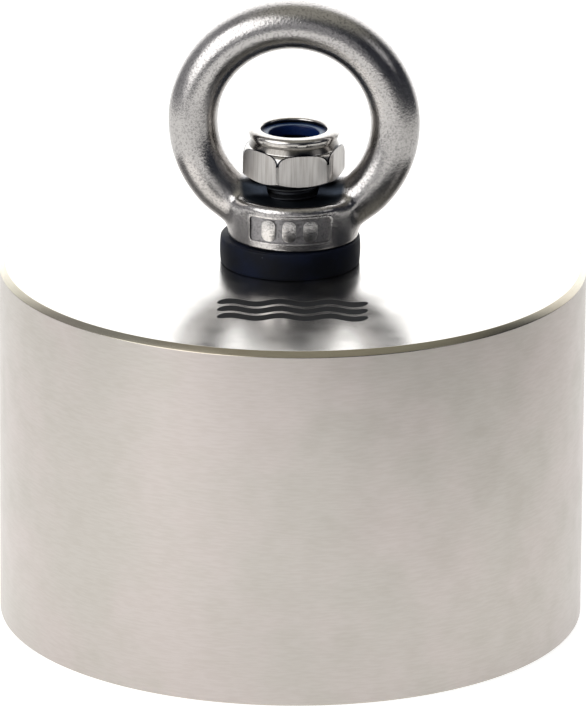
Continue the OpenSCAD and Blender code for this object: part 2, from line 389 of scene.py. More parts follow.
@dataclass(frozen=True)
class CastSteel(Finish):
    """Investment-cast stainless steel, tumbled bright.

    To the eye it is a polish over the fine orange peel of the casting. It stays rough in the framed field on
    the front and in the dish, where the tumbling media can't reach. The dish and the ring's foot under the
    nut are darkened with a painted shade. The raised marks are worn bright.
    """

    # The peel's cells are about 0.3 to 0.5 mm wide, and shallow after tumbling.
    peel_mm: float = 0.45
    peel_deep: float = 0.045
    speckle: str = "#cfcfd0"
    # Casting pits lie over a millimetre apart.
    pit_mm: float = 1.3
    pit_share: float = 0.5
    # The unpolished skin of the field has the grit of the mould's first coat.
    sand_mm: float = 0.55
    sand_share: float = 3.5
    # The polish changes over patches of about 6 mm.
    patch_mm: float = 6.0
    # The dish and the ring's foot under the nut: rough where untumbled, and darkened with a painted shade.
    dish: Cylinder = Cylinder(10.9, 80.0, 90.4, 0.7)
    dish_painted_shade: str = "#454c57"
    field: FrontField = FrontField(8.3, 80.2, 85.8, -9.0)
    field_tone: str = "#959394"
    worn_tone: str = "#c9c6c3"
    unpolished: float = 0.42
    # Marks are worn from here outwards: a little above the hub's own radius.
    worn_from: tuple[float, float] = (13.12, 13.28)

    def build(self) -> bpy.types.Material:
        """Makes the tumbled casting.

        Returns:
            The material.
        """
        material, tree, shader, place = self.start()
        peel = add(tree, "TexNoise", {"Scale": grain(self.peel_mm), "Detail": 3.0, "Roughness": 0.6},
                   {0: place})
        pits = add(tree, "TexVoronoi", {"Scale": grain(self.pit_mm)}, {0: place})
        pit = add(tree, "MapRange", smoothly(0.04, 0.12), {0: pits.outputs["Distance"]})
        patches = add(tree, "TexNoise", {"Scale": grain(self.patch_mm), "Detail": 3.0}, {0: place})
        dish = self.dish.mask(tree, place)
        front = self.field.mask(tree, place)
        away, _ = from_axis(tree, place)
        raised = add(tree, "MapRange", smoothly(*(c * MM for c in self.worn_from)), {0: away})
        wear_and_highlight = add(tree, "Math", {"operation": "MULTIPLY"}, {0: front, 1: raised.outputs[0]})
        bare = add(tree, "Math", {"operation": "SUBTRACT"}, {0: front, 1: wear_and_highlight.outputs[0]})

        marks = add(tree, "Mix", BLEND | {FIRST: srgb(self.field_tone), SECOND: srgb(self.worn_tone)},
                    {0: wear_and_highlight.outputs[0]})
        plain = add(tree, "Mix", BLEND | {FIRST: srgb(self.colour)}, {0: front, SECOND: marks.outputs[MIXED]})
        spot = add(tree, "MapRange", smoothly(0.45, 0.7), {0: peel.outputs[0]})
        face = add(tree, "Mix", MULTIPLY | {SECOND: srgb(self.speckle)},
                   {0: spot.outputs[0], FIRST: plain.outputs[MIXED]})
        # Painted shade: the dish and the ring's foot under the nut take a dark blue-grey.
        tone = add(tree, "Mix", BLEND | {SECOND: srgb(self.dish_painted_shade)}, {0: dish, FIRST: face.outputs[MIXED]})
        tree.links.new(tone.outputs[MIXED], shader.inputs["Base Color"])

        polish = add(tree, "MapRange", smoothly(0.3, 0.7, self.roughness * 0.75, self.roughness * 1.3),
                     {0: patches.outputs[0]})
        matt = add(tree, "Math", {"operation": "MAXIMUM"}, {0: bare.outputs[0], 1: dish})
        rough = add(tree, "Mix", {3: self.unpolished}, {0: matt.outputs[0], 2: polish.outputs[0]})
        tree.links.new(rough.outputs[0], shader.inputs["Roughness"])

        pitted = add(tree, "Math", {"operation": "MULTIPLY_ADD", 1: self.pit_share},
                     {0: pit.outputs[0], 2: peel.outputs[0]})
        sand = add(tree, "TexNoise", {"Scale": grain(self.sand_mm), "Detail": 2.0}, {0: place})
        sandy = add(tree, "Math", {"operation": "MULTIPLY"}, {0: sand.outputs[0], 1: bare.outputs[0]})
        rugged = add(tree, "Math", {"operation": "MULTIPLY_ADD", 1: self.sand_share},
                     {0: sandy.outputs[0], 2: pitted.outputs[0]})
        bump = add(tree, "Bump", {"Strength": 0.8, "Distance": self.peel_deep * MM},
                   {"Height": rugged.outputs[0]})
        tree.links.new(bump.outputs[0], shader.inputs["Normal"])
        return material


@dataclass(frozen=True)
class BarSteel(Finish):
    """Stainless bar, cold-drawn and then rolled or cut.

    To the eye it is satin with fine lines along the draw on the flats, and bright where it was rolled or cut.
    Inside, and underneath, it is darkened with a painted shade. A painted dark line, a painted reflection,
    may follow the edge of the flats.
    """

    # Die lines are under 0.1 mm apart. That is too fine to show, so they are drawn at 0.35 mm.
    line_mm: float = 0.35
    line_shade: str = "#eae8e6"
    line_deep: float = 0.002
    stretch: float = 0.05
    # Painted shade: inside the crown and under the nut the colour goes dark.
    bore: Cylinder = Cylinder(7.2, 80.0, 100.2)
    foot: Cylinder = Cylinder(20.0, 80.0, 90.85, 0.1)
    dark: str = "#20242b"
    # The band round the shoulder keeps the dull skin of the forming.
    skin: Cylinder = Cylinder(20.0, 97.4, 98.95, 0.12)
    skin_shade: str = "#a09e9b"
    # Painted reflection: a thin dark line along the edge of the flats, this wide in millimetres.
    painted_line_width: float = 0.0
    painted_reflection_tone: str = "#1c1e22"
    flats: float = 18.0
    first_flat: float = 45.0

    def edge_of_flats(self, tree: Tree, place: Socket) -> Socket:
        """Marks the line along which the turned slopes run into the flats.

        Args:
            tree: The node tree.
            place: The Object coordinates.

        Returns:
            A mask that is 1 on the line.
        """
        away, part = from_axis(tree, place)
        angle = add(tree, "Math", {"operation": "ARCTAN2"}, {0: part.outputs["Y"], 1: part.outputs["X"]})
        turned_back = add(tree, "Math", {"operation": "SUBTRACT", 1: math.radians(self.first_flat)},
                          {0: angle.outputs[0]})
        folded = add(tree, "Math", {"operation": "PINGPONG", 1: math.pi / 6}, {0: turned_back.outputs[0]})
        cosine = add(tree, "Math", {"operation": "COSINE"}, {0: folded.outputs[0]})
        reach = add(tree, "Math", {"operation": "MULTIPLY"}, {0: away, 1: cosine.outputs[0]})
        half = self.flats / 2
        line = smoothly((half - self.painted_line_width) * MM, (half - self.painted_line_width * 0.4) * MM)
        return add(tree, "MapRange", line, {0: reach.outputs[0]}).outputs[0]

    def build(self) -> bpy.types.Material:
        """Makes the formed steel.

        Returns:
            The material.
        """
        material, tree, shader, place = self.start()
        drawn = add(tree, "Mapping", {"Scale": (1.0, 1.0, self.stretch)}, {0: place})
        lines = add(tree, "TexNoise", {"Scale": grain(self.line_mm), "Detail": 3.0}, {0: drawn.outputs[0]})
        line = add(tree, "MapRange", smoothly(0.35, 0.7), {0: lines.outputs[0]})
        shade = add(tree, "Mix", MULTIPLY | {FIRST: srgb(self.colour), SECOND: srgb(self.line_shade)},
                    {0: line.outputs[0]})
        skin = add(tree, "Mix", MULTIPLY | {SECOND: srgb(self.skin_shade)},
                   {0: self.skin.mask(tree, place), FIRST: shade.outputs[MIXED]})
        # Painted shade darkens the inside and the underside.
        painted_shade_mask = add(tree, "Math", {"operation": "MAXIMUM"},
                     {0: self.bore.mask(tree, place), 1: self.foot.mask(tree, place)})
        tone = add(tree, "Mix", BLEND | {SECOND: srgb(self.dark)},
                   {0: painted_shade_mask.outputs[0], FIRST: skin.outputs[MIXED]})
        # Painted reflection: the dark line along the edge of the flats.
        if self.painted_line_width:
            tone = add(tree, "Mix", BLEND | {SECOND: srgb(self.painted_reflection_tone)},
                       {0: self.edge_of_flats(tree, place), FIRST: tone.outputs[MIXED]})
        tree.links.new(tone.outputs[MIXED], shader.inputs["Base Color"])
        satin = add(tree, "MapRange", smoothly(0.3, 0.7, self.roughness - 0.01, self.roughness + 0.03),
                    {0: lines.outputs[0]})
        tree.links.new(satin.outputs[0], shader.inputs["Roughness"])
        bump = add(tree, "Bump", {"Strength": 0.3, "Distance": self.line_deep * MM},
                   {"Height": lines.outputs[0]})
        tree.links.new(bump.outputs[0], shader.inputs["Normal"])
        return material


@dataclass(frozen=True)
class TurnedMetal(Finish):
    """Metal from the lathe. To the eye it has fine rings round its axis and a slightly uneven tarnish."""

    # The feed of about 0.1 mm a turn is too fine to show, so the rings are drawn at 0.4 mm.
    ring_mm: float = 0.4
    ring_deep: float = 0.01
    # Tarnish comes in patches of about 5 mm.
    tarnish_mm: float = 5.0
    tarnish_shade: str = "#b9b2a6"

    def build(self) -> bpy.types.Material:
        """Makes the turned metal.

        Returns:
            The material.
        """
        material, tree, shader, place = self.start()
        away, part = from_axis(tree, place)
        rings = add(tree, "CombineXYZ", links={0: away, 1: part.outputs["Z"]})
        feed = add(tree, "TexNoise", {"Scale": grain(self.ring_mm), "Detail": 2.0}, {0: rings.outputs[0]})
        tarnish = add(tree, "TexNoise", {"Scale": grain(self.tarnish_mm), "Detail": 5.0}, {0: place})
        amount = add(tree, "MapRange", smoothly(0.4, 0.75), {0: tarnish.outputs[0]})
        tone = add(tree, "Mix", MULTIPLY | {FIRST: srgb(self.colour), SECOND: srgb(self.tarnish_shade)},
                   {0: amount.outputs[0]})
        tree.links.new(tone.outputs[MIXED], shader.inputs["Base Color"])
        dull = add(tree, "MapRange", smoothly(0.3, 0.7, self.roughness - 0.05, self.roughness + 0.1),
                   {0: tarnish.outputs[0]})
        tree.links.new(dull.outputs[0], shader.inputs["Roughness"])
        bump = add(tree, "Bump", {"Strength": 0.4, "Distance": self.ring_deep * MM},
                   {"Height": feed.outputs[0]})
        tree.links.new(bump.outputs[0], shader.inputs["Normal"])
        return material


@dataclass(frozen=True)
class Rubber(Finish):
    """Moulded nitrile rubber.

    To the eye it is a dull blue-black with a faint bloom, a fine grain and some dust.
    """

    # The mould's own grain is about 0.1 mm, too fine to show, so it is drawn at 0.25 mm.
    grain_mm: float = 0.25
    grain_deep: float = 0.02
    bloom_mm: float = 7.0
    bloom_tone: str = "#081126"
    dust_mm: float = 2.2
    dust_tone: str = "#59606b"
    dust_amount: float = 0.5
    specular: float = 0.17

    def build(self) -> bpy.types.Material:
        """Makes the rubber.

        Returns:
            The material.
        """
        material, tree, shader, place = self.start()
        shader.inputs["Specular IOR Level"].default_value = self.specular
        fine = add(tree, "TexNoise", {"Scale": grain(self.grain_mm), "Detail": 3.0}, {0: place})
        bloom = add(tree, "TexNoise", {"Scale": grain(self.bloom_mm), "Detail": 4.0}, {0: place})
        amount = add(tree, "MapRange", smoothly(0.35, 0.7), {0: bloom.outputs[0]})
        tone = add(tree, "Mix", BLEND | {FIRST: srgb(self.colour), SECOND: srgb(self.bloom_tone)},
                   {0: amount.outputs[0]})
        dust = add(tree, "TexVoronoi", {"Scale": grain(self.dust_mm)}, {0: place})
        speck = add(tree, "MapRange", smoothly(0.03, 0.06, self.dust_amount, 0.0),
                    {0: dust.outputs["Distance"]})
        dusty = add(tree, "Mix", BLEND | {SECOND: srgb(self.dust_tone)},
                    {0: speck.outputs[0], FIRST: tone.outputs[MIXED]})
        tree.links.new(dusty.outputs[MIXED], shader.inputs["Base Color"])
        dull = add(tree, "MapRange", smoothly(0.3, 0.7, self.roughness - 0.06, self.roughness + 0.08),
                   {0: bloom.outputs[0]})
        tree.links.new(dull.outputs[0], shader.inputs["Roughness"])
        bump = add(tree, "Bump", {"Strength": 0.3, "Distance": self.grain_deep * MM},
                   {"Height": fine.outputs[0]})
        tree.links.new(bump.outputs[0], shader.inputs["Normal"])
        return material


@dataclass(frozen=True)
class Resin(Finish):
    """Poured epoxy. To the eye it is black and glossy, wavy where it shrank, with a few tiny bubbles."""

    wave_mm: float = 4.0
    wave_tone: str = "#24262b"
    wave_deep: float = 0.1
    bubble_mm: float = 1.8
    bubble_share: float = 0.6

    def build(self) -> bpy.types.Material:
        """Makes the resin.

        Returns:
            The material.
        """
        material, tree, shader, place = self.start()
        wave = add(tree, "TexNoise", {"Scale": grain(self.wave_mm), "Detail": 2.0}, {0: place})
        bubbles = add(tree, "TexVoronoi", {"Scale": grain(self.bubble_mm)}, {0: place})
        hollow = add(tree, "MapRange", smoothly(0.05, 0.12), {0: bubbles.outputs["Distance"]})
        height = add(tree, "Math", {"operation": "MULTIPLY_ADD", 1: self.bubble_share},
                     {0: hollow.outputs[0], 2: wave.outputs[0]})
        amount = add(tree, "MapRange", smoothly(0.35, 0.7), {0: wave.outputs[0]})
        tone = add(tree, "Mix", BLEND | {FIRST: srgb(self.colour), SECOND: srgb(self.wave_tone)},
                   {0: amount.outputs[0]})
        tree.links.new(tone.outputs[MIXED], shader.inputs["Base Color"])
        gloss = add(tree, "MapRange", smoothly(0.3, 0.7, self.roughness - 0.08, self.roughness + 0.1),
                    {0: wave.outputs[0]})
        tree.links.new(gloss.outputs[0], shader.inputs["Roughness"])
        bump = add(tree, "Bump", {"Strength": 0.5, "Distance": self.wave_deep * MM},
                   {"Height": height.outputs[0]})
        tree.links.new(bump.outputs[0], shader.inputs["Normal"])
        return material


@dataclass(frozen=True)
class Nylon(Finish):
    """Dyed nylon. To the eye it is a deep blue, with a painted highlight along its bore's edge."""

    # Painted highlight: the paler blue along the bore's edge.
    edge: str = "#2c5674"
    # The painted highlight starts 0.3 mm inside this radius and has faded 0.6 mm outside it.
    edge_radius: float = 5.35
    edge_in: float = 0.3
    edge_out: tuple[float, float] = (0.1, 0.6)
    # The moulding's grain is too fine to show, so it is drawn at 0.4 mm.
    grain_mm: float = 0.4
    grain_deep: float = 0.02

    def build(self) -> bpy.types.Material:
        """Makes the nylon.

        Returns:
            The material.
        """
        material, tree, shader, place = self.start()
        away, _ = from_axis(tree, place)
        near, far = (self.edge_radius + reach for reach in self.edge_out)
        outer = add(tree, "MapRange", smoothly(near * MM, far * MM, 1.0, 0.12), {0: away})
        inner = add(tree, "MapRange", smoothly((self.edge_radius - self.edge_in) * MM, self.edge_radius * MM),
                    {0: away})
        # Painted highlight: a paler ring along the bore's edge, broken up by the grain.
        rim = add(tree, "Math", {"operation": "MULTIPLY"}, {0: inner.outputs[0], 1: outer.outputs[0]})
        fine = add(tree, "TexNoise", {"Scale": grain(self.grain_mm), "Detail": 3.0}, {0: place})
        highlight_grain = add(tree, "MapRange", smoothly(0.2, 0.6, 0.3, 1.0), {0: fine.outputs[0]})
        wear_and_highlight = add(tree, "Math", {"operation": "MULTIPLY"}, {0: rim.outputs[0], 1: highlight_grain.outputs[0]})
        tone = add(tree, "Mix", BLEND | {FIRST: srgb(self.colour), SECOND: srgb(self.edge)},
                   {0: wear_and_highlight.outputs[0]})
        tree.links.new(tone.outputs[MIXED], shader.inputs["Base Color"])
        gloss = add(tree, "MapRange", smoothly(0.3, 0.7, self.roughness - 0.06, self.roughness + 0.1),
                    {0: fine.outputs[0]})
        tree.links.new(gloss.outputs[0], shader.inputs["Roughness"])
        bump = add(tree, "Bump", {"Strength": 0.25, "Distance": self.grain_deep * MM},
                   {"Height": fine.outputs[0]})
        tree.links.new(bump.outputs[0], shader.inputs["Normal"])
        return material


class FinishName(Enum):
    """The finishes of this object, each with its recipe."""

    # Nickel over turned steel: the drum's satin grey side.
    POT_SIDE = SatinNickel("satin_nickel", "#c0b6af", 0.35, warm="#c2bab6", cool="#bdb8b2")
    # Nickel over lapped steel: a mirror.
    POT_BACK = MirrorNickel("mirror_nickel", "#c6c4c1", 0.215)
    # The tool's last cut round the back's edge is brighter and yellower than the side.
    POT_EDGE = SatinNickel("turned_edge", "#b5ad9c", 0.2, warm="#b6ae9e", cool="#b2ad9d")
    # The rim is ground flat, and the grinding shows through the plating.
    POT_RIM = SatinNickel("ground_rim", "#beb6ad", 0.24, warm="#beb6ad", cool="#b8b4aa")
    # The magnets are pressed powder under nickel: an even satin.
    MAGNET = SatinNickel("magnet_nickel", "#bdb6ab", 0.28, warm="#bfb6ab", cool="#b8b6ae")
    POTTING = Resin("potting_resin", "#15161a", 0.35, 0.0)
    # Free-cutting brass, yellow and fairly bright.
    BUSH = TurnedMetal("turned_brass", "#c9a35c", 0.25)
    # Rolled thread, oily, and darkened all over with a painted shade of the gap under the nut.
    BOLT = TurnedMetal("rolled_stainless", "#4a4c50", 0.42)
    RUBBER = Rubber("moulded_rubber", "#02050f", 0.6, 0.0)
    EYE = CastSteel("tumbled_casting", "#b5b2b0", 0.2)
    # Hexagon bar as drawn: satin flats.
    NUT_FLATS = BarSteel("drawn_stainless", "#c6c3c0", 0.3)
    # The crown is rolled in with a polished tool and has no draw lines.
    NUT_CROWN = BarSteel("rolled_bright_stainless", "#b9b6b2", 0.14, stretch=1.0, line_mm=0.6,
                         line_deep=0.004)
    # The corners are cut to a slope, with a painted dark line, a painted reflection, against the flats.
    NUT_SLOPES = BarSteel("cut_slopes", "#c6c4c1", 0.17, painted_line_width=0.3)
    NYLON = Nylon("dyed_nylon", "#042052", 0.36, 0.0)


@cache
def finish_of(name: FinishName) -> bpy.types.Material:
    """Gives a finish's material, made the first time that it is asked for."""
    return name.value.build()


# ---------------------------------------------------------------- modelling


def deselect() -> None:
    """Leaves nothing selected."""
    bpy.ops.object.select_all(action="DESELECT")


def activate(obj: bpy.types.Object) -> None:
    """Makes an object the one that is selected and active.

    Args:
        obj: The object.
    """
    deselect()
    obj.select_set(True)
    bpy.context.view_layer.objects.active = obj


def arc(centre: tuple[float, float], radius: float, start: float, end: float, steps: int = 6) -> Profile:
    """Gives the points of a round stretch of a profile.

    Args:
        centre: Radius and height of the arc's centre.
        radius: The arc's radius.
        start: Angle of the first point, in degrees, 0 outwards and 90 up.
        end: Angle of the last point.
        steps: How many chords the arc has.

    Returns:
        The points from start to end.
    """
    angles = [math.radians(start + (end - start) * i / steps) for i in range(steps + 1)]
    return [(centre[0] + radius * math.cos(a), centre[1] + radius * math.sin(a)) for a in angles]


def turned(name: str, profile: Profile, segments: int, ring: bool = True) -> bpy.types.Object:
    """Turns a profile round Z, as on a lathe, by extruding one circle from point to point.

    Args:
        name: The new object's name.
        profile: Radius and height of each point, in millimetres.
        segments: How many sides the circle has.
        ring: Whether the profile closes on itself. Otherwise both ends are filled with a flat face.

    Returns:
        The new object, at the origin.
    """
    deselect()
    radius, height = profile[0]
    bpy.ops.mesh.primitive_circle_add(vertices=segments, radius=radius * MM, fill_type="NOTHING",
                                      location=(0, 0, height * MM))
    obj = bpy.context.object
    obj.name = obj.data.name = name
    bpy.ops.object.transform_apply(location=True, rotation=True, scale=True)
    bpy.ops.object.mode_set(mode="EDIT")
    bpy.ops.mesh.select_all(action="SELECT")
    for next_radius, next_height in profile[1:] + (profile[:1] if ring else []):
        rise = (0, 0, (next_height - height) * MM)
        bpy.ops.mesh.extrude_region_move(TRANSFORM_OT_translate={"value": rise})
        scale = next_radius / radius
        bpy.ops.transform.resize(value=(scale, scale, 1))
        radius, height = next_radius, next_height
    bpy.ops.mesh.select_all(action="SELECT")
    bpy.ops.mesh.remove_doubles(threshold=0.0005 * MM)
    if not ring:
        bpy.ops.mesh.fill_holes(sides=0)
    bpy.ops.mesh.select_all(action="SELECT")
    bpy.ops.mesh.normals_make_consistent(inside=False)
    bpy.ops.object.mode_set(mode="OBJECT")
    return obj


def modify(obj: bpy.types.Object, kind: str, **settings: object) -> None:
    """Adds a modifier to obj and applies it.

    Args:
        obj: The object that changes.
        kind: The modifier's type, such as "BOOLEAN".
        **settings: The modifier's own properties.
    """
    activate(obj)
    modifier = obj.modifiers.new(kind.lower(), kind)
    for key, value in settings.items():
        setattr(modifier, key, value)
    bpy.ops.object.modifier_apply(modifier=modifier.name)


def combine(obj: bpy.types.Object, other: bpy.types.Object, operation: str) -> None:
    """Joins, cuts or intersects obj with another solid, which is then removed.

    Args:
        obj: The solid that is kept.
        other: The solid that is used up.
        operation: "UNION", "DIFFERENCE" or "INTERSECT".
    """
    modify(obj, "BOOLEAN", operation=operation, object=other, solver="EXACT")
    bpy.data.objects.remove(other)


def smooth(obj: bpy.types.Object, angle: float = 35.0) -> None:
    """Shades obj smooth, with sharp edges where faces meet at more than angle degrees."""
    activate(obj)
    bpy.ops.object.shade_smooth_by_angle(angle=math.radians(angle))


def dress(obj: bpy.types.Object, *finishes: FinishName) -> None:
    """Gives a new piece its materials.

    Args:
        obj: The piece.
        *finishes: Its finishes, one for each slot.
    """
    obj.data.materials.clear()
    for finish in finishes:
        obj.data.materials.append(finish_of(finish))


def paint(node: str, finish: FinishName) -> None:
    """Gives a CAD node, whose shape stays, its finish in the slots that it has."""
    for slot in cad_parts[node].material_slots:
        slot.material = finish_of(finish)


def hand_over(obj: bpy.types.Object, body: str, slot: str, *nodes: str) -> None:
    """Sets a finished piece in place of its CAD nodes.

    Args:
        obj: The piece.
        body: The CAD body that it rides on.
        slot: A material slot's name; not used.
        *nodes: The CAD nodes that it stands for.
    """
    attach(obj, body)
    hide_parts(*nodes)
    LOG.info("%s: %d faces, rides on %s", obj.name, len(obj.data.polygons), body)


def span(node: str) -> tuple[float, float, float]:
    """Gives a CAD node's outer radius, lowest and highest point, in millimetres."""
    low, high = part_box(node)
    return max(high.x, -low.x) / MM, low.z / MM, high.z / MM


# ---------------------------------------------------------------- the pieces


@dataclass
class Drum:
    """The pot with its magnets, potting and core bush, seen from outside and below."""

    body: str = "magnet"
    segments: int = 384
    chamfer: float = 1.2
    # The chamfer's own edges are broken to this radius, and the rim's outer edge to the next one.
    edge: float = 0.25
    rim_edge: float = 0.5
    hole: float = 6.5
    # The pot is this much smaller in radius than its CAD node, whose circle has corners.
    inside: float = 0.02
    # A face whose normal rises above these shares is back or edge, and one that dips below the last is rim.
    back_rise: float = 0.99
    edge_rise: float = 0.3
    rim_dip: float = -0.3

    def build(self) -> None:
        """Builds the pot and dresses what is in it."""
        self.pot()
        for node in ("ring_magnet_upper", "ring_magnet_middle", "ring_magnet_lower"):
            paint(node, FinishName.MAGNET)
        paint("potting_ring", FinishName.POTTING)
        paint("core_bush", FinishName.BUSH)

    def pot(self) -> None:
        """Turns the pot and gives its side, back, edge and rim their own finish."""
        radius, _, height = span("pot_shell")
        radius -= self.inside
        cavity, _, ceiling = span("potting_ring")
        profile = (
            [(cavity, 0.0)]
            + arc((radius - self.rim_edge, self.rim_edge), self.rim_edge, -90, 0, 8)
            + arc((radius - self.edge, height - self.chamfer), self.edge, 0, 45, 3)
            + arc((radius - self.chamfer, height - self.edge), self.edge, 45, 90, 3)
            + [(self.hole, height), (self.hole, ceiling), (cavity, ceiling)]
        )
        pot = turned("pot", profile, self.segments)
        finishes = (FinishName.POT_SIDE, FinishName.POT_BACK, FinishName.POT_EDGE, FinishName.POT_RIM)
        side, back, edge, rim = range(len(finishes))
        dress(pot, *finishes)
        for face in pot.data.polygons:
            up = face.normal.z
            if up > self.back_rise:
                face.material_index = back
            elif up > self.edge_rise:
                face.material_index = edge
            elif up < self.rim_dip:
                face.material_index = rim
            else:
                face.material_index = side
        smooth(pot, 20)
        hand_over(pot, self.body, "pot_nickel", "pot_shell")


@dataclass
class Spacer:
    """The rubber ring between the drum's back and the eye nut, squeezed a little out of true."""

    body: str = "magnet"
    segments: int = 192
    bore: float = 6.9
    bulge: float = 0.12
    bulge_steps: int = 4
    edge: float = 0.45
    shift: tuple[float, float] = (-0.6, 0.0)

    def build(self) -> None:
        """Builds and dresses the spacer."""
        radius, low, high = span("rubber_spacer")
        waist = radius - self.bulge
        middle = (low + high) / 2
        half = (high - low) / 2 - self.edge
        heights = [step / self.bulge_steps for step in range(-self.bulge_steps, self.bulge_steps + 1)]
        side = [(waist + self.bulge * (1 - t ** 2), middle + half * t) for t in heights]
        profile = (
            [(self.bore, low)]
            + arc((waist - self.edge, low + self.edge), self.edge, -90, 0, 5)[:-1]
            + side
            + arc((waist - self.edge, high - self.edge), self.edge, 0, 90, 5)[1:]
            + [(self.bore, high)]
        )
        ring = turned("spacer", profile, self.segments)
        ring.data.transform(Matrix.Translation((self.shift[0] * MM, self.shift[1] * MM, 0)))
        dress(ring, FinishName.RUBBER)
        smooth(ring, 40)
        hand_over(ring, self.body, "spacer_rubber", "rubber_spacer")


@dataclass
class Bolt:
    """The countersunk bolt through the drum, with a real thread on its upper end."""

    body: str = "magnet"
    segments: int = 96
    shank: float = 6.0
    pitch: float = 1.75
    depth: float = 0.95
    head: float = 12.0
    head_land: float = 0.8
    head_edge: float = 0.15
    end_chamfer: float = 0.6
    # Each end closes with a flat face inside this radius.
    middle: float = 0.4
    socket_af: float = 8.0
    socket_depth: float = 5.0
    thread_from: float = 60.0
    # The ridge's foot is sunk into the root. Half its foot and half its crest are these shares of the pitch.
    ridge_sunk: float = 0.15
    half_foot: float = 0.44
    half_crest: float = 1 / 16

    def build(self) -> None:
        """Builds and dresses the bolt."""
        _, low, high = span("through_bolt")
        root = self.shank - self.depth
        profile = (
            [(self.middle, low)]
            + arc((self.head - self.head_edge, low + self.head_edge), self.head_edge, -90, 0, 3)
            + [(self.head, low + self.head_land),
               (self.shank, low + self.head_land + self.head - self.shank),
               (self.shank, self.thread_from - self.depth), (root, self.thread_from),
               (root, high - self.end_chamfer), (root - self.end_chamfer, high), (self.middle, high)]
        )
        bolt = turned("bolt", profile, self.segments, ring=False)
        self.cut_socket(bolt, low)
        self.add_thread(bolt, root, high)
        dress(bolt, FinishName.BOLT)
        smooth(bolt, 30)
        hand_over(bolt, self.body, "bolt_steel", "through_bolt")

    def cut_socket(self, bolt: bpy.types.Object, low: float) -> None:
        """Cuts the hexagon socket into the head.

        Args:
            bolt: The bolt's object.
            low: Height of the head's face.
        """
        deselect()
        top = low + self.socket_depth
        bpy.ops.mesh.primitive_cylinder_add(vertices=6, radius=self.socket_af / math.sqrt(3) * MM,
                                            depth=2 * self.socket_depth * MM,
                                            location=(0, 0, (top - self.socket_depth) * MM))
        bpy.ops.object.transform_apply(location=True, rotation=True, scale=True)
        combine(bolt, bpy.context.object, "DIFFERENCE")

    def add_thread(self, bolt: bpy.types.Object, root: float, end: float) -> None:
        """Winds the thread's ridge round the bolt.

        Args:
            bolt: The bolt's object.
            root: The thread's root radius.
            end: Height of the bolt's end.
        """
        deselect()
        inner = root - self.ridge_sunk
        foot, crest = self.pitch * self.half_foot, self.pitch * self.half_crest
        bpy.ops.mesh.primitive_plane_add(size=1)
        ridge = bpy.context.object
        corners = [(inner, -foot), (self.shank, -crest), (self.shank, crest), (inner, foot)]
        order = sorted(ridge.data.vertices, key=lambda v: math.atan2(v.co.y, v.co.x))
        for vertex, (radius, height) in zip(order, corners):
            vertex.co = (radius * MM, 0, (self.thread_from + self.pitch + height) * MM)
        bpy.ops.object.mode_set(mode="EDIT")
        bpy.ops.mesh.select_all(action="SELECT")
        bpy.ops.mesh.delete(type="ONLY_FACE")
        bpy.ops.object.mode_set(mode="OBJECT")
        turns = int((end - self.thread_from - 2 * self.pitch) / self.pitch)
        modify(ridge, "SCREW", angle=math.tau, screw_offset=self.pitch * MM, iterations=turns,
               steps=self.segments, render_steps=self.segments, use_merge_vertices=False)
        bpy.ops.object.mode_set(mode="EDIT")
        bpy.ops.mesh.select_all(action="SELECT")
        bpy.ops.mesh.fill_holes(sides=0)
        bpy.ops.mesh.select_all(action="SELECT")
        bpy.ops.mesh.normals_make_consistent(inside=False)
        bpy.ops.object.mode_set(mode="OBJECT")
        activate(bolt)
        ridge.select_set(True)
        bpy.ops.object.join()


